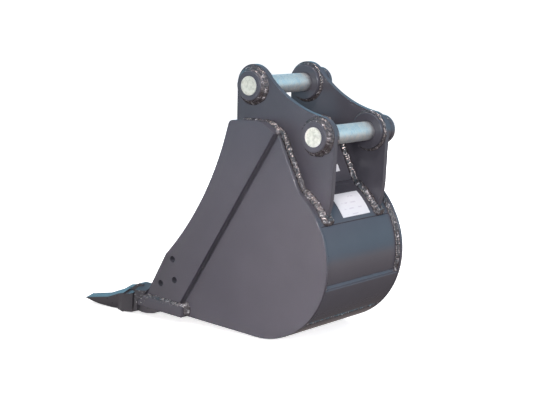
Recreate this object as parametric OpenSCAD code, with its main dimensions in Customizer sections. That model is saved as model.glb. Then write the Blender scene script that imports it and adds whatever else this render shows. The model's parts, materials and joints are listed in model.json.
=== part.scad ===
// Narrow trenching bucket for a compact excavator of 3 to 4 tonnes.
// Millimetres.  Origin: centre of the dipper pin.  X runs across the bucket
// along the pins, -Y towards the teeth, +Z up with the bucket standing on
// its heel and its teeth.

/* [Pins and bosses] */
// diameter of the dipper pin and of the link pin
pin_d = 40; // [35:1:45]
// gap on the radius between a pin and its bores
pin_gap = 0.08; // [0.02:0.01:0.1]
// link pin centre behind the dipper pin
link_y = 167.5; // [150:0.5:180]
// link pin centre below the dipper pin
link_z = -92.5; // [-100:0.5:-80]
// outside diameter of the discs on the inside of the ears
disc_d = 76; // [66:1:78]
// thickness of those discs
disc_t = 12; // [8:1:16]
// outside diameter of the collars on the outside of the ears
collar_d = 62; // [56:1:70]
// length of the collars on the right ear
collar_l = 16; // [12:1:20]
// length of the collars on the left ear, beside the pin flags
keeper_collar_l = 28; // [20:1:34]
// depth of the relief grooves beside the free length of each pin
groove = 0.6; // [0.4:0.1:1]
// thickness of the flags on the pins
flag_t = 12; // [8:1:14]
// diameter of the keeper bolts
bolt_d = 12; // [10:2:14]

/* [Ears] */
// clear distance between the two ears
ear_gap = 174; // [160:1:190]
// thickness of an ear
ear_t = 12; // [10:1:16]

/* [Shell] */
// width over the two side sheets
shell_w = 280; // [260:1:300]
// thickness of a side sheet
sheet_t = 8; // [6:1:10]
// thickness of the plates that form the back and the floor
plate_t = 8; // [6:1:10]
// radius of the side sheet at the heel
rim_r = 169; // [165:1:172]
// how far the side sheets stand proud of the curved plates
rim_out = 9; // [6:1:11]
// slope of the floor, front end up, in degrees
floor_tilt = 3.5; // [2.5:0.5:4.5]

/* [Cutting edges] */
// thickness of the side cutters
cutter_t = 20; // [16:1:24]
// diameter of the three bolt holes in each side cutter
cutter_hole_d = 13.5; // [13:0.5:14.5]
// width of the lip plate
lip_w = 320; // [310:1:330]
// thickness of the lip plate
lip_t = 25; // [20:1:28]
// depth of the lip plate, front to back
lip_l = 130; // [120:1:140]

/* [Teeth] */
// width of an adapter and of a tooth collar
tooth_w = 60; // [54:1:64]
// width of a tooth at its tip
tip_w = 46; // [40:1:50]
// diameter of the lock pins of the teeth
lock_d = 12; // [10:1:14]

/* [Hidden] */
$fn = 96;

pin_r = pin_d / 2;
bore_r = pin_r + pin_gap;
link = [link_y, link_z];
ear_in = ear_gap / 2;                // inner face of an ear
ear_out = ear_in + ear_t;            // outer face of an ear
free_half = ear_in - disc_t;         // half the free length of a pin
pin_end = ear_out + collar_l;        // right end of the collars and the pins
keeper_end = ear_out + keeper_collar_l + 0.5;   // left end of the keeper blocks
flag_x = keeper_end + 0.5;           // inner face of a pin flag
sheet_out = shell_w / 2;
sheet_in = sheet_out - sheet_t;

heel = [60, -350];                   // centre of the heel curve
wrap_r = rim_r - rim_out;            // outside of the curved plates
shoulder = [58.8, -341.5];           // centre of the upper wrapper's curve
shoulder_r = wrap_r - 3;
seam = heel + wrap_r * [cos(30), sin(30)];
seam_dir = (seam - shoulder) / norm(seam - shoulder);
corner = [135, -204];                // where back plate and upper wrapper meet
corner_dir = (corner - shoulder) / norm(corner - shoulder);
knee = [82, -97];                    // where top plate and back plate meet
knee_in = [75.7, -102.3];
floor_end = 96;                      // the curve runs this far below level
floor_start = heel + wrap_r * [cos(floor_end), -sin(floor_end)];

lip_root = [-138, -507.2];           // lower rear edge of the lip
cut_top = [116, -58];                // the joint of cutter and sheet runs
cut_low = [-155.2, -486];            // along this line
front_c = [-677, 99];                // centre of the hollow front edge
front_r = 678;

tooth_x = lip_w / 2 - tooth_w / 2;   // centre of an outer tooth
dipper_bolt = [24, -41.6];           // keeper bolt of each pin
link_bolt = link + [-47.5, 5];
block_r = 14;                        // keeper block and the flag round its bolt
flag_r = 31;                         // flag round its pin
lock_y = -177;                       // lock pins, ahead of the lip's rear edge
nose_x = 20;                         // half width of an adapter's nose
tongue_x = 12;                       // half width of the tongue above the nose

paint = [0.36, 0.36, 0.39];
zinc = [0.72, 0.77, 0.76];
white = [0.93, 0.94, 0.95];
sticker_t = 0.4;

// ---- helpers ----------------------------------------------------------

// a side-view outline (Y, Z) given thickness from x0 to x1
module slab(x0, x1) {
    translate([x0, 0, 0]) rotate([90, 0, 90]) linear_extrude(height = x1 - x0) children();
}

// the same outline on both sides of the mid plane: side is 1 or -1
module side_slab(side, x0, x1) {
    if (side > 0) slab(x0, x1) children();
    else slab(-x1, -x0) children();
}

// frame of the lip and the teeth: origin at the lip's lower rear edge
module on_floor() {
    translate([0, lip_root[0], lip_root[1]]) rotate([-floor_tilt, 0, 0]) children();
}

module disc(c, r) { translate(c) circle(r = r); }

// part of a ring about a centre, from angle a0 to a larger angle a1
module arc_band(c, r0, r1, a0, a1) {
    m = (a0 + a1) / 2;
    intersection() {
        difference() { disc(c, r1); disc(c, r0); }
        polygon([c, c + 2 * r1 * [cos(a0), sin(a0)], c + 3 * r1 * [cos(m), sin(m)],
                 c + 2 * r1 * [cos(a1), sin(a1)]]);
    }
}

// ---- side view outlines -------------------------------------------------

// whole side of the bucket, sheet and cutter together
module side_outline() {
    difference() {
        union() {
            disc(heel, rim_r);
            disc(shoulder, shoulder_r + rim_out);
            disc([-10.6, -81], 12);
            polygon([[-27.5, -93], [-188, -368], lip_top(-112.7), lip_point(lip_t), lip_root,
                     heel + rim_r * [cos(floor_end), -sin(floor_end)], heel, [129, -258],
                     [155.3, -206.9], [97, -88], [71, -72], [63, -67.8], [53, -66],
                     [-10.6, -69], [-10.6, -81], [-22.6, -81]]);
        }
        translate(front_c) circle(r = front_r, $fn = 200);
    }
}

function lip_dir() = [cos(floor_tilt), -sin(floor_tilt)];
function lip_up() = [sin(floor_tilt), cos(floor_tilt)];
function lip_point(z) = lip_root + z * lip_up();
function lip_top(y) = lip_root + y * lip_dir() + lip_t * lip_up();

// everything in front of the joint between side cutter and side sheet
module cutter_side() { polygon([cut_top, cut_low, [-321, -486], [-321, -58]]); }

// everything inside the outer surface of the back plates
module shell_fill() {
    union() {
        disc(heel, wrap_r);
        disc(shoulder, shoulder_r);
        polygon([[-29, -298], shoulder, corner, knee, [53, -77], [-29, -77]]);
    }
}

module ear_outline() {
    difference() {
        union() {
            disc([0, 2.5], 42);
            disc([170.5, -89.5], 39);
            polygon([[-42, -79.5], [-36.5, -85], [-29, -85], [44, -88], [69, -110], [109, -188],
                     [159, -248], [192.5, -261], [202.3, -228], [205.5, -197], [209.3, -91.5],
                     [170.5, -89.5], [176.9, -51], [31.6, 30.1], [0, 2.5], [-42, 2.5]]);
        }
        translate([217, 191.7]) circle(r = 246.3, $fn = 160);
        shell_fill();
        circle(r = bore_r);
        disc(link, bore_r);
    }
}

// ---- shell ---------------------------------------------------------------

module side_sheet(side) {
    color(paint) side_slab(side, sheet_in, sheet_out)
        difference() { side_outline(); cutter_side(); }
}

module side_cutter(side) {
    color(paint) side_slab(side, sheet_in, sheet_in + cutter_t)
        difference() {
            intersection() { side_outline(); cutter_side(); }
            disc([-172, -384], cutter_hole_d / 2);
            disc([-166, -429], cutter_hole_d / 2);
            disc([-206, -442], cutter_hole_d / 2);
        }
}

module top_plate() {
    color(paint) slab(-sheet_in, sheet_in)
        polygon([[-29, -77], [53, -77], knee, knee_in, [50.5, -77 - plate_t], [-29, -77 - plate_t]]);
}

module back_plate() {
    color(paint) slab(-sheet_in, sheet_in)
        polygon([knee, corner, corner - plate_t * corner_dir, [129.5, -211], knee_in]);
}

module upper_wrapper() {
    color(paint) slab(-sheet_in, sheet_in)
        intersection() {
            difference() { disc(shoulder, shoulder_r); disc(shoulder, shoulder_r - plate_t); }
            polygon([shoulder, shoulder + 300 * seam_dir, shoulder + 300 * corner_dir]);
        }
}

module wrapper() {
    color(paint) slab(-sheet_in, sheet_in)
        intersection() {
            difference() { disc(heel, wrap_r); disc(heel, wrap_r - plate_t); }
            polygon([seam + 60 * seam_dir, seam - 60 * seam_dir, heel,
                     heel + 200 * [cos(floor_end), -sin(floor_end)], [129, -598], [409, -598]]);
        }
}

module floor_plate() {
    color(paint) slab(-sheet_in, sheet_in)
        polygon([floor_start,
                 heel + (wrap_r - plate_t) * [cos(floor_end), -sin(floor_end)],
                 lip_point(rim_out + plate_t), lip_point(rim_out)]);
}

module heel_wear_plate() {
    color(paint) slab(-sheet_in, sheet_in) arc_band(heel, wrap_r, rim_r, -45.5, -15.8);
}

// curved at the heel, then flat under the floor plate for most of its depth
module bottom_wear_plate() {
    run = lip_point(rim_out) - floor_start;
    down = rim_out * [-run[1], run[0]] / norm(run);
    color(paint) slab(-sheet_in, sheet_in)
        union() {
            arc_band(heel, wrap_r, rim_r, -floor_end, -47);
            polygon([floor_start, floor_start + 0.743 * run, floor_start + 0.743 * run + down,
                     floor_start + down,
                     heel + wrap_r * [cos(floor_end - 2), -sin(floor_end - 2)] + [0, -0.4]]);
        }
}

module lip() {
    color(paint) on_floor() slab(-lip_w / 2, lip_w / 2)
        polygon([[0, 0], [0, lip_t], [18 - lip_l, lip_t], [-lip_l, 10], [-lip_l, 0]]);
}

// ---- ears and bosses -------------------------------------------------------

module ear(side) { color(paint) side_slab(side, ear_in, ear_out) ear_outline(); }

module boss_disc(side, c) {
    color(paint) side_slab(side, free_half, ear_in)
        difference() { disc(c, disc_d / 2); disc(c, bore_r); }
}

module collar(side, c) {
    color(paint) side_slab(side, ear_out, ear_out + (side > 0 ? collar_l : keeper_collar_l))
        difference() { disc(c, collar_d / 2); disc(c, bore_r); }
}

// threaded block on the left ear that takes the keeper bolt
module keeper_block(c) {
    color(paint) difference() {
        slab(-keeper_end, -ear_out) disc(c, block_r);
        slab(-keeper_end - 1, -ear_out - 4) disc(c, bolt_d / 2 + 0.06);
    }
}

// ---- pins --------------------------------------------------------------------

module bucket_pin(c) {
    color(zinc) difference() {
        slab(-flag_x, pin_end) disc(c, pin_r);
        for (side = [-1, 1])
            side_slab(side, free_half - 0.5, free_half + 1.5)
                difference() { disc(c, pin_r + 2); disc(c, pin_r - groove); }
    }
}

// flat plate on the pin's left end, held by one bolt
module pin_flag(c, b) {
    u = (b - c) / norm(b - c);
    w = [-u[1], u[0]];               // square to the line from pin to bolt
    color(paint) slab(-flag_x - flag_t, -flag_x)
        difference() {
            union() {
                disc(c, flag_r);
                disc(b, block_r);
                polygon([c + pin_r * w, c - pin_r * w, b - 0.96 * block_r * w,
                         b + 0.96 * block_r * w]);
            }
            disc(b, bolt_d / 2 + 0.6);
        }
}

module keeper_bolt(c) {
    color(zinc) union() {
        slab(-flag_x - flag_t, -ear_out - 8) disc(c, bolt_d / 2);
        slab(-flag_x - flag_t - 7.5, -flag_x - flag_t)
            translate(c) circle(r = bolt_d * 0.866, $fn = 6);
    }
}

// ---- adapters, teeth and lock pins ------------------------------------------------

// long solid with the cross-section given, running forwards and down from (y, z)
module beam(xc, y, z, slope, len) {
    translate([xc, y, z]) rotate([90 + slope, 0, 0]) linear_extrude(height = len) children();
}

// cross-section for a beam with a ridge, falling by drop to each side
module roof(h, drop) {
    polygon([[-h, -130], [h, -130], [h, -drop], [0, 0], [-h, -drop]]);
}

function nose_top(y) = 4 + 0.27 * (y + 200);

// the nose that a tooth slides over, in side view
module nose(gap) {
    polygon([[-138, -10], [-138, nose_top(-138)], [-200 - gap, nose_top(-200 - gap)],
             [-200 - gap, -10]]);
}

// welded adapter that straddles the lip, with a roofed top and a tongue over the nose;
// an outer one is cut back for the side cutter
module adapter(place) {
    xc = place * tooth_x;
    h = tooth_w / 2;
    color(paint) on_floor() difference() {
        union() {
            intersection() {
                slab(xc - h, xc + h)
                    polygon([[-139.5, -13], [-lip_l, -14], [-lip_l, 10], [18 - lip_l, lip_t],
                             [-42, lip_t], [-66, 49], [-93, 54], [-139.5, 46]]);
                beam(xc, -40, 60.6, 9.3, 125) roof(h, 12);
            }
            slab(xc - h + 6, xc + h - 6)
                polygon([[-132, -13.8], [-118, -15.5], [-106, -14.5], [-86, -10.5], [-76, -6],
                         [-60, 0], [-lip_l, 0], [-132, 0]]);
            slab(xc - nose_x, xc + nose_x) nose(0);
            slab(xc - tongue_x, xc + tongue_x)
                polygon([[-164, 10], [-132, 10], [-132, 43.5], [-144.3, 43.5], [-156, 36.5],
                         [-164, 29.9]]);
        }
        lock_bore(xc);
        if (place != 0) side_slab(place, sheet_in - 0.2, 200)
            polygon([[-113, lip_t], [-20, lip_t], [-20, lip_t + 40.2], [-113 + 20, lip_t + 40.2]]);
    }
}

module lock_bore(xc) {
    translate([xc, lock_y, -60]) cylinder(r = lock_d / 2 + 0.06, h = 120, $fn = 64);
}

// replaceable tooth point: a roofed collar, notched for the adapter's tongue, and
// a wedge with a ridge along its back and narrowed flanks below
module tooth(place) {
    xc = place * tooth_x;
    h = tooth_w / 2;
    t = tip_w / 2;
    color(paint) on_floor() difference() {
        union() {
            intersection() {
                slab(xc - h, xc + h)
                    polygon([[-145, -20], [-145, 40], [-175, 40], [-175, -24.5], [-167, -23.5]]);
                beam(xc, -140, 35.2, 16.5, 50) roof(h, 9.6);
            }
            intersection() {
                slab(xc - h, xc + h)
                    polygon([[-296.5, -22], [-276, -24.5], [-251, -26.8], [-217, -26.8],
                             [-187, -24.6], [-172, -25.5], [-172, 25], [-188, 22], [-296.5, 22]]);
                translate([xc, 0, -40]) linear_extrude(height = 90)
                    polygon([[-t, -297], [t, -297], [h - 5, -191], [h, -175.5], [h, -172], [-h, -172],
                             [-h, -175.5], [5 - h, -191]]);
                union() {
                    beam(xc, -150, 39.7, 24.6, 170) roof(h, 9.6);
                    beam(xc, -150, 21.7, 14.1, 160) roof(h, 7.4);
                }
                union() {
                    beam(xc, -180, -1.8, 10.6, 130)
                        polygon([[-11, -40], [11, -40], [34, 17.6], [34, 60], [-34, 60], [-34, 17.6]]);
                    slab(xc - h, xc + h) polygon([[-193, -40], [-170, -40], [-170, 40], [-193, 40]]);
                }
            }
        }
        slab(xc - nose_x - 0.4, xc + nose_x + 0.4) nose(1);
        slab(xc - tongue_x - 3, xc + tongue_x + 3)
            polygon([[-168, 12], [-140, 12], [-140, 45], [-168, 45]]);
        lock_bore(xc);
    }
}

module lock_pin(place) {
    color(zinc) on_floor()
        translate([place * tooth_x, lock_y, -22]) cylinder(r = lock_d / 2, h = 43, $fn = 64);
}

// ---- stickers -------------------------------------------------------------------------

// blank rectangular sticker on the upper wrapper
module label() {
    color(white) slab(-60, 38)
        arc_band(shoulder, shoulder_r, shoulder_r + sticker_t, 30.5, 51);
}

// small blank sticker near the lower edge of the back plate
module small_label() {
    down = (corner - knee) / norm(corner - knee);
    out = sticker_t * [-down[1], down[0]];
    color(white) slab(-47, -2)
        polygon([knee + 77 * down, knee + 92.5 * down, knee + 92.5 * down + out,
                 knee + 77 * down + out]);
}

// ---- nodes ---------------------------------------------------------------------------

side_sheet(1);  // side_sheet_right
side_sheet(-1);  // side_sheet_left
side_cutter(1);  // side_cutter_right
side_cutter(-1);  // side_cutter_left
top_plate();
back_plate();
upper_wrapper();
wrapper();
floor_plate();
heel_wear_plate();
bottom_wear_plate();
lip();
ear(1);  // ear_right
ear(-1);  // ear_left
boss_disc(1, [0, 0]);  // dipper_disc_right
boss_disc(-1, [0, 0]);  // dipper_disc_left
boss_disc(1, link);  // link_disc_right
boss_disc(-1, link);  // link_disc_left
collar(1, [0, 0]);  // dipper_collar_right
collar(-1, [0, 0]);  // dipper_collar_left
collar(1, link);  // link_collar_right
collar(-1, link);  // link_collar_left
keeper_block(dipper_bolt);  // dipper_keeper_block
keeper_block(link_bolt);  // link_keeper_block
bucket_pin([0, 0]);  // dipper_pin
pin_flag([0, 0], dipper_bolt);  // dipper_pin_flag
keeper_bolt(dipper_bolt);  // dipper_keeper_bolt
bucket_pin(link);  // link_pin
pin_flag(link, link_bolt);  // link_pin_flag
keeper_bolt(link_bolt);  // link_keeper_bolt
adapter(1);  // adapter_right
adapter(0);  // adapter_middle
adapter(-1);  // adapter_left
tooth(1);  // tooth_right
tooth(0);  // tooth_middle
tooth(-1);  // tooth_left
lock_pin(1);  // lock_pin_right
lock_pin(0);  // lock_pin_middle
lock_pin(-1);  // lock_pin_left
label();
small_label();
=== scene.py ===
import json
import math

import bmesh
import bpy
import numpy as np
from mathutils import Matrix, Vector, noise


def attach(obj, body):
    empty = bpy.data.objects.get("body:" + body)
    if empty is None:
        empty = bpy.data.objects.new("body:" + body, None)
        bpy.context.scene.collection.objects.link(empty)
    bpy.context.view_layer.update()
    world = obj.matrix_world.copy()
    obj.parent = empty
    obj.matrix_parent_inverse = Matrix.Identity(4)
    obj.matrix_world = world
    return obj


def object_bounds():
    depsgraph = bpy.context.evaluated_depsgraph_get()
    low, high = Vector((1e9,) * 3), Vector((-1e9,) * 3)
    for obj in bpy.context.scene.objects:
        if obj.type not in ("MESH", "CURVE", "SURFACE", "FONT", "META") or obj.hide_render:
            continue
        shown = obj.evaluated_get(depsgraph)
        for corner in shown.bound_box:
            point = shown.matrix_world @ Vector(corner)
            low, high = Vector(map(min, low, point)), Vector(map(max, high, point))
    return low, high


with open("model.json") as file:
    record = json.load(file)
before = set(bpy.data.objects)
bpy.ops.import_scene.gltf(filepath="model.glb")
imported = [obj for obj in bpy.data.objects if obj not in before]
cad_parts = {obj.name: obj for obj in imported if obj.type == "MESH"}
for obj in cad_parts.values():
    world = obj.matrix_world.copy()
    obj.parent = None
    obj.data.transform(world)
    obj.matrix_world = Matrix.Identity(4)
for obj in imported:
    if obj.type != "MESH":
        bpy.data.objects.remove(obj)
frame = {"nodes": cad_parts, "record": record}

cad_lo, cad_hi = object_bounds()
NODES = frame["nodes"]
S = bpy.context.scene

# ---- camera: solved from the straight edges and round bosses of the picture --

cam_data = bpy.data.cameras.new("camera")
cam_data.sensor_width = 36.0
cam_data.lens = 90.43
cam_data.clip_start, cam_data.clip_end = 0.05, 60.0
cam = bpy.data.objects.new("camera", cam_data)
S.collection.objects.link(cam)
S.camera = cam
CAM_AT = Vector((2.27415, 1.73698, 0.20287))
FORWARD = Vector((-0.77930, -0.60660, -0.15725)).normalized()
CAM_UP = Vector((-0.11013, -0.11445, 0.98731))
right = FORWARD.cross(CAM_UP).normalized()
up = right.cross(FORWARD)
cam.matrix_world = Matrix((
    (right.x, up.x, -FORWARD.x, CAM_AT.x),
    (right.y, up.y, -FORWARD.y, CAM_AT.y),
    (right.z, up.z, -FORWARD.z, CAM_AT.z),
    (0, 0, 0, 1)))

# ---- materials ------------------------------------------------------------


class Mat:
    """A procedural material wired in object coordinates: m is the material, t its node
    tree and b its Principled shader."""

    def __init__(self, name):
        self.m = bpy.data.materials.new(name)
        self.m.use_nodes = True
        self.t = self.m.node_tree
        self.t.nodes.clear()
        out = self.t.nodes.new("ShaderNodeOutputMaterial")
        self.b = self.t.nodes.new("ShaderNodeBsdfPrincipled")
        self.t.links.new(self.b.outputs[0], out.inputs[0])
        self.obj = self.t.nodes.new("ShaderNodeTexCoord").outputs["Object"]

    def node(self, kind, **values):
        n = self.t.nodes.new(kind)
        for k, v in values.items():
            setattr(n, k, v)
        return n

    def link(self, a, b):
        self.t.links.new(a, b)

    def feed(self, socket, value):
        """Link an output into a socket, or set a number or a colour on it."""
        if isinstance(value, bpy.types.NodeSocket):
            self.link(value, socket)
        else:
            socket.default_value = col(value) if isinstance(value, tuple) else value

    def scaled(self, x, y, z):
        n = self.node("ShaderNodeMapping")
        n.inputs["Scale"].default_value = (x, y, z)
        self.link(self.obj, n.inputs["Vector"])
        return n.outputs[0]

    def noise(self, scale, detail, rough, stretch=(1, 1, 1), distort=0.0):
        n = self.node("ShaderNodeTexNoise")
        n.inputs["Scale"].default_value = scale
        n.inputs["Detail"].default_value = detail
        n.inputs["Roughness"].default_value = rough
        n.inputs["Distortion"].default_value = distort
        self.link(self.scaled(*stretch), n.inputs["Vector"])
        return n.outputs["Fac"]

    def ramp(self, fac, *stops):
        """stops: (position, grey or colour)"""
        n = self.node("ShaderNodeValToRGB")
        e = n.color_ramp.elements
        while len(e) > 1:
            e.remove(e[-1])
        e[0].position, e[0].color = stops[0][0], col(stops[0][1])
        for p, c in stops[1:]:
            s = e.new(p)
            s.color = col(c)
        self.link(fac, n.inputs[0])
        return n.outputs[0]

    def mix(self, fac, a, b):
        """Mix two colours; a Mix node has its colour sockets at 6 and 7, and 2."""
        n = self.node("ShaderNodeMix", data_type="RGBA")
        self.feed(n.inputs[0], fac)
        self.feed(n.inputs[6], a)
        self.feed(n.inputs[7], b)
        return n.outputs[2]

    def math(self, op, a, b=0.0):
        n = self.node("ShaderNodeMath", operation=op)
        self.feed(n.inputs[0], a)
        self.feed(n.inputs[1], b)
        return n.outputs[0]

    def position(self):
        """The object coordinates as separate X, Y and Z outputs."""
        n = self.node("ShaderNodeSeparateXYZ")
        self.link(self.obj, n.inputs[0])
        return n.outputs

    def facing_x(self):
        """1 on faces across the X axis, 0 on faces along it."""
        coords = self.node("ShaderNodeTexCoord")
        normal = self.node("ShaderNodeSeparateXYZ")
        self.link(coords.outputs["Normal"], normal.inputs[0])
        return self.math("ABSOLUTE", normal.outputs["X"])

    def bump(self, *layers):
        """layers: (height socket, strength, distance in metres)"""
        last = None
        for h, strength, distance in layers:
            n = self.node("ShaderNodeBump")
            n.inputs["Strength"].default_value = strength
            n.inputs["Distance"].default_value = distance
            self.link(h, n.inputs["Height"])
            if last is not None:
                self.link(last, n.inputs["Normal"])
            last = n.outputs[0]
        self.link(last, self.b.inputs["Normal"])


def col(c):
    """A grey level or an (r, g, b) as an opaque colour."""
    return (*c, 1.0) if isinstance(c, tuple) else (c, c, c, 1.0)


def paint_material(name, dark, light, rough, peel, grain, coat,
                   spec=0.42, tint=(1, 1, 1)):
    """Gloss machine enamel: orange peel, faint dust, cut marks on plate edges."""
    k = Mat(name)
    big = k.noise(5.0, 3, 0.5)
    fine = k.noise(60.0, 6, 0.6)
    base = k.mix(k.ramp(big, (0.35, 0.0), (0.65, 1.0)), dark, light)
    dust = k.ramp(k.noise(14.0, 8, 0.7, distort=0.6), (0.52, 0.0), (0.90, 0.12))
    dusty = tuple(c * 1.25 + 0.015 for c in light)
    base = k.mix(dust, base, dusty)
    k.link(base, k.b.inputs["Base Color"])
    r = k.ramp(fine, (0.3, rough - 0.01), (0.7, rough + 0.015))
    r = k.mix(dust, r, (rough + 0.16,) * 3)
    k.link(r, k.b.inputs["Roughness"])
    k.b.inputs["Specular IOR Level"].default_value = spec
    k.b.inputs["Specular Tint"].default_value = col(tint)
    k.b.inputs["Coat Weight"].default_value = coat
    k.b.inputs["Coat Roughness"].default_value = 0.12
    edge = k.math("SUBTRACT", 1.0, k.facing_x())
    drag = k.math("MULTIPLY", k.noise(420.0, 3, 0.6, stretch=(0.04, 1, 1)), edge)
    k.bump((k.noise(230.0, 2, 0.5), peel, 0.0006),
           (k.noise(28.0, 2, 0.5), 0.25, 0.0012),
           (drag, grain, 0.0008))
    return k.m


paint = paint_material("slate_paint", (0.078, 0.075, 0.090), (0.090, 0.086, 0.102),
                       rough=0.24, peel=0.08, grain=0.25, coat=0.2)
cast = paint_material("slate_paint_on_casting",
                      (0.060, 0.059, 0.066), (0.088, 0.086, 0.095),
                      rough=0.28, peel=0.35, grain=0.1, coat=0.10,
                      spec=0.45, tint=(1.0, 0.86, 0.86))
# a darker copy of the slate paint: painted shade for the dark groove between side cutter
# and side sheet
groove_painted_shade = paint_material("slate_paint_darkened_as_painted_shade",
                              (0.040, 0.038, 0.045), (0.060, 0.057, 0.068),
                              rough=0.30, peel=0.3, grain=0.1, coat=0.2)


def bead_material(name, *tones):
    """Gloss paint over rough weld metal, mottled in four tones from dark to light; the
    lightest tones are painted highlights.
    """
    k = Mat(name)
    mottle = k.noise(150.0, 3, 0.6, distort=0.5)
    base = k.ramp(mottle, *zip((0.40, 0.58, 0.64, 0.70), tones))
    k.link(base, k.b.inputs["Base Color"])
    r = k.ramp(k.noise(210.0, 3, 0.6), (0.35, 0.10), (0.65, 0.24))
    k.link(r, k.b.inputs["Roughness"])
    k.b.inputs["Specular IOR Level"].default_value = 1.0
    k.b.inputs["Specular Tint"].default_value = (1.0, 0.80, 0.74, 1.0)
    k.b.inputs["Coat Weight"].default_value = 0.5
    k.b.inputs["Coat Roughness"].default_value = 0.10
    k.bump((k.noise(130.0, 2, 0.5, distort=0.4), 0.45, 0.0026),
           (k.noise(520.0, 2, 0.5), 0.12, 0.0006))
    return k.m


# the dark and mid tones are mottled weld metal; the light pinkish-white spots are painted
# glints
bead_paint_with_painted_glints = bead_material("slate_paint_on_weld_with_painted_glints",
                           (0.045, 0.038, 0.039), (0.085, 0.076, 0.080),
                           (0.20, 0.185, 0.19), (0.62, 0.59, 0.60))
# the light tones on the lumps and spatter are painted highlights: white glints on the weld
# metal
spatter_paint_with_painted_glints = bead_material("slate_paint_on_spatter_with_painted_glints",
                              (0.09, 0.08, 0.083), (0.22, 0.205, 0.21),
                              (0.52, 0.50, 0.50), (0.80, 0.78, 0.78))

MIST_END_X = -0.060     # metres; the paint mist thickens from here to the left
MIST_SLOPE = 65.0


def zinc_material(name, sprayed=False):
    """Zinc plate, clouded pale blue and straw, on a turned bar with creamy sawn ends.
    A sprayed bar is dulled by paint mist next to the disc inside the left ear."""
    k = Mat(name)
    cloud = k.noise(70.0, 6, 0.7, distort=0.8)
    tint = k.ramp(cloud, (0.30, (0.64, 0.72, 0.74)), (0.46, (0.82, 0.84, 0.82)),
                  (0.58, (0.92, 0.89, 0.82)), (0.72, (0.70, 0.76, 0.78)))
    pit = k.ramp(k.noise(520.0, 3, 0.6), (0.55, 0.0), (0.70, 0.6))
    tint = k.mix(pit, tint, (0.46, 0.48, 0.46))
    face = k.ramp(k.facing_x(), (0.80, 0.0), (0.95, 1.0))
    blotch = k.ramp(k.noise(150.0, 5, 0.7), (0.38, (0.60, 0.62, 0.53)),
                    (0.50, (0.77, 0.79, 0.69)), (0.62, (0.87, 0.88, 0.79)))
    tint = k.mix(face, tint, blotch)
    if sprayed:
        past = k.math("SUBTRACT", MIST_END_X, k.position()["X"])
        near_disc = k.math("MULTIPLY", past, MIST_SLOPE)
        speckle = k.math("SUBTRACT", k.noise(180.0, 3, 0.6), 0.5)
        mist = k.math("ADD", near_disc, speckle)
        tint = k.mix(mist, tint, (0.36, 0.35, 0.36))
    k.link(tint, k.b.inputs["Base Color"])
    k.link(k.mix(face, (0.80, 0.80, 0.80), (0.25, 0.25, 0.25)), k.b.inputs["Metallic"])
    r = k.ramp(k.noise(130.0, 5, 0.6), (0.3, 0.42), (0.7, 0.60))
    k.link(k.mix(face, r, (0.65, 0.65, 0.65)), k.b.inputs["Roughness"])
    k.bump((k.noise(500.0, 3, 0.6, stretch=(1, 0.15, 0.15)), 0.25, 0.0006),
           (k.noise(160.0, 4, 0.6), 0.25, 0.0010))
    return k.m


zinc = zinc_material("zinc_plate")
zinc_sprayed = zinc_material("zinc_plate_with_paint_mist", sprayed=True)

RULES_PER_METRE = 95.0
LABEL_MIDDLE_X = -0.011


def label_material():
    """White vinyl with faint broken grey rules; no lettering."""
    k = Mat("blank_label")
    at = k.position()
    row = k.math("FRACT", k.math("MULTIPLY", at["Z"], RULES_PER_METRE))
    rule = k.ramp(row, (0.40, 0.0), (0.46, 1.0), (0.58, 1.0), (0.64, 0.0))
    broken = k.ramp(k.noise(60.0, 1, 0.4, stretch=(1, 0.2, 1.6)), (0.48, 0.0), (0.54, 1.0))
    off_middle = k.math("ABSOLUTE", k.math("SUBTRACT", at["X"], LABEL_MIDDLE_X))
    inside = k.ramp(k.math("MULTIPLY", off_middle, 20.0), (0.60, 1.0), (0.66, 0.0))
    ink = k.math("MULTIPLY", k.math("MULTIPLY", rule, broken), inside)
    soft = k.noise(300.0, 3, 0.5)
    base = k.mix(k.ramp(soft, (0.4, 0.0), (0.7, 0.10)),
                 (0.80, 0.81, 0.84), (0.66, 0.67, 0.73))
    base = k.mix(k.math("MULTIPLY", ink, 0.5), base, (0.50, 0.46, 0.55))
    k.link(base, k.b.inputs["Base Color"])
    k.b.inputs["Roughness"].default_value = 0.38
    k.bump((k.noise(90.0, 3, 0.5), 0.08, 0.0008), (soft, 0.05, 0.0004))
    return k.m


label_mat = label_material()

BY_SLOT = {"paint": paint, "tooth_paint": cast, "zinc": zinc, "label": label_mat}
SLOT_OF = {s["node"]: s["material_slot"] for s in frame["record"]["subparts"]}

# edge rounding in metres by a word in the node's name; the first match counts
ROUNDING = (("label", 0.0), ("adapter", 0.0022), ("tooth", 0.0016), ("lock", 0.0010),
            ("bolt", 0.0006), ("flag", 0.0018), ("_pin", 0.0012))
PLATE_ROUNDING = 0.0018
SPRAYED = ("dipper_pin", "link_pin")

for name, o in NODES.items():
    o.data.materials.clear()
    o.data.materials.append(zinc_sprayed if name in SPRAYED else BY_SLOT[SLOT_OF[name]])
    width = next((r for word, r in ROUNDING if word in name), PLATE_ROUNDING)
    if not width:
        continue
    join = o.modifiers.new("weld_split_corners", "WELD")
    join.merge_threshold = 1e-5
    flat = o.modifiers.new("merge_flat_faces", "DECIMATE")
    flat.decimate_type = "DISSOLVE"
    flat.angle_limit = math.radians(0.4)
    bevel = o.modifiers.new("round_edges", "BEVEL")
    bevel.width = width
    bevel.segments = 2
    bevel.limit_method = "ANGLE"
    bevel.angle_limit = math.radians(28)
    bevel.use_clamp_overlap = True
    shade = o.modifiers.new("shade", "WEIGHTED_NORMAL")
    shade.keep_sharp = False

# ---- weld beads: lengths are in millimetres from here to the floor ----------

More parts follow.
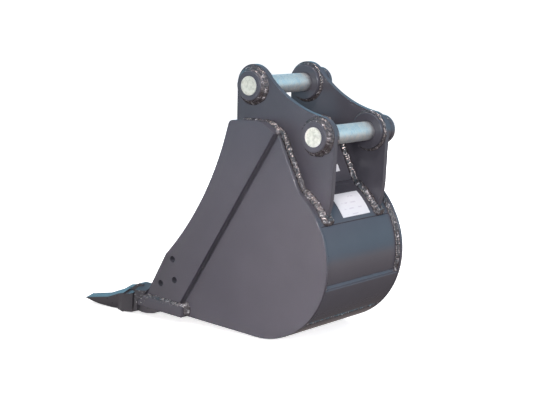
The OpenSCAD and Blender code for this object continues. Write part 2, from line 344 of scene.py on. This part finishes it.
MM = 0.001
STEP = 1.0      # distance between the rings of a bead
ACROSS = 8      # strips across a bead's face
ROOT = 0.6      # how far a bead's root is sunk into its corner
LUMP_RATE = 0.11            # lumps come about once in 1 / LUMP_RATE
TOE_WANDER, CROWN_WANDER = 0.20, 0.25   # share by which lumps move toes and crown
CRESCENT = 2.4              # how far a ripple's middle is ahead of its toes
RIPPLE_WANDER = 1.4
GRAIN_RATE, GRAIN = 0.45, 0.06
TAPERED_END = 0.08          # size of a bead's very end


def unit(v):
    return v / np.linalg.norm(v)


def add_piece(name, mesh, material):
    """Add weld metal, which rides on the bucket."""
    mesh.materials.append(material)
    o = bpy.data.objects.new(name, mesh)
    S.collection.objects.link(o)
    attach(o, "bucket")


def rings_along(stations, leg, closed):
    """Rings about STEP apart, their directions blended from station to station."""
    stations = [tuple(np.array(v, float) for v in s) for s in stations]
    following = stations[1:] + (stations[:1] if closed else [])
    rings = []
    for (p0, a0, b0), (p1, a1, b1) in zip(stations, following):
        turn = max(math.acos(max(-1, min(1, float(u @ v))))
                   for u, v in ((a0, a1), (b0, b1)))
        n = max(1, int(math.ceil(max(np.linalg.norm(p1 - p0), leg * turn) / STEP)))
        for j in range(n):
            t = j / n
            rings.append((p0 + (p1 - p0) * t,
                          unit(a0 + (a1 - a0) * t), unit(b0 + (b1 - b0) * t)))
    if not closed:
        rings.append(stations[-1])
    return rings


def weld(name, stations, leg, bulge, closed=False, seed=1, pitch=4.2, ripple=0.16,
         material=bead_paint_with_painted_glints):
    """A welded bead swept along stations (P, a, b): P is the inner corner between two
    surfaces, a and b run from it along each surface. Ripples are crescents."""
    leg_a, leg_b = leg if isinstance(leg, tuple) else (leg, leg)
    leg = max(leg_a, leg_b)
    rings = rings_along(stations, leg, closed)
    count = len(rings)
    verts = []
    for i, (p, a, b) in enumerate(rings):
        s = i * STEP
        end = 1.0
        if not closed:
            e = min(i, count - 1 - i) * STEP / max(leg, 1)
            end = math.sqrt(max(0.0, 1 - (1 - min(1.0, e)) ** 2))
            end = end * (1 - TAPERED_END) + TAPERED_END
        lump = noise.noise(Vector((s * LUMP_RATE, seed * 7.3, 0)))
        lump2 = noise.noise(Vector((s * LUMP_RATE, seed * 7.3, 9.1)))
        toe_a = p + a * (leg_a * (1 + TOE_WANDER * lump) * end)
        toe_b = p + b * (leg_b * (1 + TOE_WANDER * lump2) * end)
        n = unit(a + b)
        for j in range(ACROSS + 1):
            t = j / ACROSS
            shape = (4 * t * (1 - t)) ** 0.65
            phase = (s + CRESCENT * (1 - (2 * t - 1) ** 2) + RIPPLE_WANDER * lump) / pitch
            saw = phase - math.floor(phase)
            saw = saw if saw < 0.75 else (1 - saw) * 3
            grain = noise.noise(Vector((s * GRAIN_RATE, t * 3.0, seed * 3.1)))
            h = bulge * shape * (1 + CROWN_WANDER * lump2) * end
            h += leg * shape * (ripple * (saw - 0.4) + GRAIN * grain) * end
            verts.append(toe_a * (1 - t) + toe_b * t + n * h)
        verts.append(p - n * ROOT)
    m = ACROSS + 2
    faces = []
    for i in range(count if closed else count - 1):
        i2 = (i + 1) % count
        for j in range(m):
            j2 = (j + 1) % m
            faces.append((i * m + j, i2 * m + j, i2 * m + j2, i * m + j2))
    if not closed:
        faces.append(tuple(range(m)))
        faces.append(tuple(reversed(range((count - 1) * m, count * m))))
    mesh = bpy.data.meshes.new(name)
    mesh.from_pydata([tuple(v * MM) for v in verts], [], faces)
    mesh.validate()
    mesh.polygons.foreach_set("use_smooth", [True] * len(mesh.polygons))
    bm = bmesh.new()
    bm.from_mesh(mesh)
    bmesh.ops.recalc_face_normals(bm, faces=bm.faces)
    bm.to_mesh(mesh)
    bm.free()
    add_piece(name, mesh, material)


def blobs(name, lumps):
    """Lumps and spatter of weld metal: (centre, (rx, ry, rz))."""
    bm = bmesh.new()
    for i, (c, r) in enumerate(lumps):
        fineness = 3 if max(r) > 2.5 else 1
        got = bmesh.ops.create_icosphere(bm, subdivisions=fineness, radius=1.0)
        for v in got["verts"]:
            d = v.co.copy()
            k = 1 + 0.22 * noise.noise(d * 1.7 + Vector((i * 3.7, 0, 0))) \
                + 0.10 * noise.noise(d * 5.0 + Vector((0, i * 2.9, 0)))
            v.co = Vector([(c[j] + d[j] * k * r[j]) * MM for j in range(3)])
    for f in bm.faces:
        f.smooth = True
    mesh = bpy.data.meshes.new(name)
    bm.to_mesh(mesh)
    bm.free()
    add_piece(name, mesh, spatter_paint_with_painted_glints)


# The bucket's main points in its side view, as (Y, Z), repeated from part.scad.
DIPPER, LINK = np.zeros(2), np.array([167.5, -92.5])
TOP_FRONT, TOP_REAR = np.array([-27.0, -77.0]), np.array([53.0, -77.0])
KNEE, CORNER = np.array([82.0, -97.0]), np.array([135.0, -204.0])
SHOULDER, SHOULDER_R = np.array([58.8, -341.5]), 157    # arc below the corner
HEEL, HEEL_R = np.array([60.0, -350.0]), 160            # arc of the heel
CUTTER_TOP, CUTTER_LOW = np.array([116.0, -58.0]), np.array([-155.2, -486.0])
LIP_ROOT, TILT = np.array([-138.0, -507.2]), math.radians(3.5)
# distances from the middle, along X
EAR_IN, EAR_OUT, COLLAR_STEP = 87, 99, 105
SHEET_IN, SHEET_OUT, CUTTER_OUT, LIP_END = 132, 140, 152, 160
COLLAR_R, DISC_R = 30.5, 37.8
LIP_TOP = 25            # upper face of the lip, above its lower one
ADAPTER_PITCH, ADAPTER_HALF = 130, 30
HEEL_PLATE_DEG, WEAR_PLATE_DEG = -15.8, -47     # where the plates meet on the heel's arc
SPATTER, SPATTER_AT_END = 46, 30                # specks a side; those at the lip's end
SIDES = ((1, "right"), (-1, "left"))


def yz(x, p):
    return np.array([x, p[0], p[1]])


def on_arc(c, r, deg):
    t = math.radians(deg)
    return c + r * np.array([math.cos(t), math.sin(t)])


def radial(deg):
    t = math.radians(deg)
    return np.array([0, math.cos(t), math.sin(t)])


def on_lip(x, y, z):
    """A point in the tilted lip's own directions, from its rear lower edge."""
    c, s = math.cos(TILT), math.sin(TILT)
    return np.array([x, LIP_ROOT[0] + y * c + z * s, LIP_ROOT[1] - y * s + z * c])


LIP_BACK = np.array([0, math.cos(TILT), -math.sin(TILT)])
LIP_UP = np.array([0, math.sin(TILT), math.cos(TILT)])


def ring(c, x, r, out, n=48):
    """Stations round a boss of radius r on a face at x; out is the axial direction."""
    rays = [radial(360.0 * i / n) for i in range(n)]
    return [(yz(x, c) + d * r, d, np.array([out, 0.0, 0.0])) for d in rays]


for side, word in SIDES:
    for c, pin in ((DIPPER, "dipper"), (LINK, "link")):
        seed = 3 + (side > 0) + 2 * (pin == "link")
        weld(f"weld_{pin}_collar_{word}_a", ring(c, side * EAR_OUT, COLLAR_R, side),
             (10.5, 8.0), 0.8, closed=True, seed=seed, ripple=0.20)
        weld(f"weld_{pin}_collar_{word}_b",
             ring(c, side * COLLAR_STEP, COLLAR_R + 0.2, side),
             (4.6, 6.6), 1.0, closed=True, seed=seed + 30, ripple=0.26)
        weld(f"weld_{pin}_disc_{word}", ring(c, side * EAR_IN, DISC_R, -side),
             (6.0, 3.8), 1.0, closed=True, seed=seed + 9)


def shell_line(lowest):
    """Outer line of top plate, back plate and curved plates, as (point, normal), down to
    the angle lowest in degrees on the shoulder's arc, or below 27 on the heel's."""
    got = []
    for p, q in ((TOP_FRONT, TOP_REAR), (TOP_REAR, KNEE), (KNEE, CORNER)):
        d = unit(q - p)
        n = np.array([0, -d[1], d[0]])
        got += [(p, n), (q, n)]
    arcs = [(SHOULDER, SHOULDER_R, 61, max(lowest, 27.1))]
    if lowest < 27:
        arcs.append((HEEL, HEEL_R, 30, lowest))
    for c, r, first, last in arcs:
        angles = [first - 3 * i for i in range(int(math.ceil((first - last) / 3)))]
        got += [(on_arc(c, r, angle), radial(angle)) for angle in angles]
    got.append((on_arc(c, r, lowest), radial(lowest)))
    return got


def both_faces(side, line, foot):
    """Up one face of an ear, round its foot and back along the other face."""
    sx = np.array([side, 0.0, 0.0])
    outer = [(yz(side * EAR_OUT, p), sx, n) for p, n in line]
    inner = [(yz(side * EAR_IN, p), -sx, n) for p, n in reversed(line)]
    return outer + foot + inner


def speck(i, side):
    """One drop of spatter on the lip's end or on its upper edge. The three fixed
    numbers from 0 to 1 that place it look random."""
    h = [abs(math.sin(91.7 * i + 37.3 * j + 5.1 * side) * 43.7) % 1 for j in range(3)]
    if i < SPATTER_AT_END:
        at = on_lip(side * (LIP_END - 0.8 + 0.5 * h[2]), -137 + 30 * h[0], 4 + 29 * h[1])
    else:
        at = on_lip(side * (LIP_END - 0.5), -137 + 130 * h[0], 19 + 7 * h[1])
    r = 0.7 + 1.3 * h[2] ** 2
    return at, (r, r * 1.3, r)


for side, word in SIDES:
    sx = np.array([side, 0.0, 0.0])
    # ear to shell, with a second, wider pass round the ear's foot
    line = shell_line(31.5)
    foot, n = line[-1]
    down = np.array([0, n[2], -n[1]])
    round_foot = [(yz(side * x, foot), down, n) for x in (EAR_OUT, EAR_IN)]
    weld(f"weld_ear_{word}", both_faces(side, line, round_foot), 9.0, 1.4,
         seed=21 + side, pitch=5.0, ripple=0.20)
    low_line = [q for q in line if q[0][0] >= CORNER[0] - 0.1][1:]
    weld(f"weld_ear_foot_{word}", both_faces(side, low_line, round_foot), (13.0, 9.5), 1.6,
         seed=25 + side, pitch=6.5, ripple=0.24)
    # rim of the side sheet to shell
    rim = [(yz(side * SHEET_IN, p), -sx, n) for p, n in shell_line(-15.0)]
    weld(f"weld_rim_{word}", rim, 7.0, 1.2, seed=31 + side, pitch=5.0, ripple=0.20)
    # side cutter to side sheet, as a filled groove, in darker paint that is painted shade
    d = unit(CUTTER_LOW - CUTTER_TOP)
    away = np.array([0, -d[1], d[0]])
    start, stop = CUTTER_TOP + d * 31, CUTTER_LOW + d * -2
    groove = [(yz(side * SHEET_OUT, p), sx, away) for p in (start, stop)]
    weld(f"weld_cutter_{word}", groove, 4.4, 0.1, seed=41 + side, ripple=0.06,
         material=groove_painted_shade)
    # lip to cutter, ending in a heavy lump, then down the lip's rear end
    along = [(on_lip(side * CUTTER_OUT, y, LIP_TOP), sx, LIP_UP) for y in (-108, -4)]
    weld(f"weld_lip_{word}", along, (7.5, 6.0), 1.4, seed=51 + side, pitch=9.0, ripple=0.22)
    rear = [(on_lip(side * SHEET_OUT, 0, z), sx, LIP_BACK) for z in (28, 1)]
    weld(f"weld_lip_end_{word}", rear, (14.0, 9.0), 1.6, seed=61 + side, pitch=5.5,
         ripple=0.28)
    lumps = [
        (on_lip(side * 150, -3, 26), (8.5, 6.5, 4.6)),
        (on_lip(side * 143, -1, 28), (5.5, 6.0, 5.0)),
        (on_lip(side * 157, -13, 25), (3.6, 7.0, 3.0)),
        (yz(side * (SHEET_OUT + 1), CUTTER_TOP + d * 392), (2.4, 4.2, 4.2)),
        (yz(side * (SHEET_OUT + 1), start + d * 2), (3.4, 5.0, 5.0)),
        (yz(side * 104, foot + 4 * np.array([0.6, -0.8])), (7.0, 6.0, 5.0)),
        (yz(side * 129, on_arc(HEEL, HEEL_R + 2, -15.0)), (5.0, 5.5, 5.0)),
        (yz(side * 129, on_arc(HEEL, HEEL_R + 5, -46.3)), (4.0, 4.5, 4.5)),
        (on_lip(side * 155, -116, 24), (5.0, 8.0, 4.0)),
    ]
    blobs(f"weld_lumps_{word}", lumps + [speck(i, side) for i in range(SPATTER)])


def across(p, half, a, b):
    """A straight line across the shell at p, as two stations."""
    return [(yz(x, p), a, b) for x in (-half, half)]


# the heel plate's upper edge and the corner of the back: ground nearly flush and
# painted over; the groove between the two wear plates: left as welded
up_arc = math.radians(HEEL_PLATE_DEG)
weld("weld_heel_plate",
     across(on_arc(HEEL, HEEL_R, HEEL_PLATE_DEG), 130, radial(HEEL_PLATE_DEG),
            np.array([0, -math.sin(up_arc), math.cos(up_arc)])),
     5.0, 0.1, seed=71, ripple=0.03, material=paint)
up_arc = math.radians(WEAR_PLATE_DEG)
weld("weld_wear_groove",
     across(on_arc(HEEL, HEEL_R, WEAR_PLATE_DEG), 131, radial(WEAR_PLATE_DEG),
            np.array([0, -math.sin(up_arc), math.cos(up_arc)])),
     (9.6, 4.4), 0.6, seed=75, ripple=0.06)
up_back = unit(KNEE - CORNER)
down_arc = unit(np.array([CORNER[1] - SHOULDER[1], SHOULDER[0] - CORNER[0]]))
weld("weld_back_corner",
     across(CORNER, 86, np.array([0, *up_back]), np.array([0, *down_arc])),
     5.0, 0.2, seed=77, ripple=0.06, material=paint)

# adapters to the lip; the outer sides of the outer two are flush with its ends
slope = unit(on_lip(0, -112, LIP_TOP) - on_lip(0, -130, 10))
slope_up = np.array([0, -slope[2], slope[1]])
for place, word in ((1, "right"), (0, "middle"), (-1, "left")):
    for way, side_word in ((-1, "left"), (1, "right")):
        if place * way > 0:
            continue
        x = place * ADAPTER_PITCH + way * ADAPTER_HALF
        face = np.array([way, 0.0, 0.0])
        fillet = [(on_lip(x, -129, 11), face, slope_up),
                  (on_lip(x, -112, LIP_TOP), face, (slope_up + LIP_UP) / 2),
                  (on_lip(x, -46, LIP_TOP), face, LIP_UP)]
        weld(f"weld_adapter_{word}_{side_word}", fillet, 7.0, 1.0,
             seed=81 + place + 5 * way)

# ---- floor, backdrop and lights: in metres again --------------------------

FLOOR_GAP = 0.0005
bpy.ops.mesh.primitive_plane_add(size=60, location=(0, 0, cad_lo.z - FLOOR_GAP))
floor = bpy.context.object
floor.name = "floor"
k = Mat("pale_floor")
k.b.inputs["Base Color"].default_value = (0.93, 0.93, 0.93, 1)
k.b.inputs["Roughness"].default_value = 0.9
k.b.inputs["Specular IOR Level"].default_value = 0.1
k.b.inputs["Emission Color"].default_value = (1, 1, 1, 1)
k.b.inputs["Emission Strength"].default_value = 0.72
floor.data.materials.append(k.m)
floor.visible_diffuse = False
floor.visible_glossy = False

world = bpy.data.worlds.new("studio")
S.world = world
world.use_nodes = True
wt = world.node_tree
wt.nodes.clear()


def wnode(kind):
    return wt.nodes.new(kind)


def backdrop(color, strength):
    """A background shader of one colour."""
    n = wnode("ShaderNodeBackground")
    n.inputs["Color"].default_value = (*color, 1)
    n.inputs["Strength"].default_value = strength
    return n


def choose(ray, no, yes):
    """Pick a background by the kind of ray."""
    n = wnode("ShaderNodeMixShader")
    wt.links.new(rays.outputs[ray], n.inputs[0])
    wt.links.new(no.outputs[0], n.inputs[1])
    wt.links.new(yes.outputs[0], n.inputs[2])
    return n


# What gloss reflects, from straight down to straight up: a dark floor, a warm strip
# at the horizon and a blue room that darkens upwards.
SKY = ((0.0, (0.05, 0.05, 0.05)), (0.22, (0.13, 0.11, 0.11)), (0.36, (0.36, 0.31, 0.30)),
       (0.425, (0.60, 0.53, 0.50)), (0.460, (0.22, 0.52, 0.72)), (0.55, (0.30, 0.66, 0.86)),
       (0.70, (0.15, 0.42, 0.60)), (0.85, (0.08, 0.24, 0.36)), (1.0, (0.16, 0.30, 0.40)))
coords = wnode("ShaderNodeTexCoord")
axes = wnode("ShaderNodeSeparateXYZ")
height = wnode("ShaderNodeMapRange")
height.inputs["From Min"].default_value = -1.0
sky_ramp = wnode("ShaderNodeValToRGB")
wt.links.new(coords.outputs["Generated"], axes.inputs[0])
wt.links.new(axes.outputs["Z"], height.inputs["Value"])
wt.links.new(height.outputs[0], sky_ramp.inputs[0])
stops = sky_ramp.color_ramp.elements
stops[0].position, stops[0].color = SKY[0][0], col(SKY[0][1])
stops[1].position, stops[1].color = SKY[-1][0], col(SKY[-1][1])
for place, c in SKY[1:-1]:
    stops.new(place).color = col(c)
sky = backdrop((1, 1, 1), 1.25)
wt.links.new(sky_ramp.outputs[0], sky.inputs["Color"])
white = backdrop((1, 1, 1), 1.1)
soft = backdrop((0.95, 0.95, 1.0), 0.42)
rays = wnode("ShaderNodeLightPath")
seen = choose("Is Camera Ray", choose("Is Glossy Ray", soft, sky), white)
wt.links.new(seen.outputs[0], wnode("ShaderNodeOutputWorld").inputs[0])


def area_light(name, at, target, size, power, color):
    """A round lamp at one point that faces another."""
    d = bpy.data.lights.new(name, "AREA")
    d.shape = "DISK"
    d.size = size
    d.energy = power
    d.color = color
    o = bpy.data.objects.new(name, d)
    S.collection.objects.link(o)
    at, target = Vector(at), Vector(target)
    o.location = at
    o.rotation_mode = "QUATERNION"
    o.rotation_quaternion = (at - target).to_track_quat("Z", "Y")
    return o


MIDDLE = (0.05, 0.0, -0.25)
# a narrow beam at the right side, brightest towards the heel
key = area_light("key", (3.8, -0.3, 0.30), (0.14, 0.20, -0.40), 0.2, 0.85,
                 (1.0, 0.965, 0.985))
key.data.spread = math.radians(16)
area_light("near", (2.6, 1.3, 0.42), MIDDLE, 0.7, 31, (1.0, 0.965, 0.985))
area_light("top", (1.0, 0.8, 3.0), MIDDLE, 0.5, 56, (1.0, 0.93, 0.92))
far_side = area_light("far_side", (-3.2, -1.0, 0.9), MIDDLE, 1.0, 80, (0.97, 0.97, 1.0))
far_side.visible_glossy = False      # its glare would eat the far edges
area_light("fill", (0.2, 3.6, 0.9), MIDDLE, 0.9, 42, (0.95, 0.93, 1.0))

S.view_settings.view_transform = "Standard"
S.view_settings.look = "None"
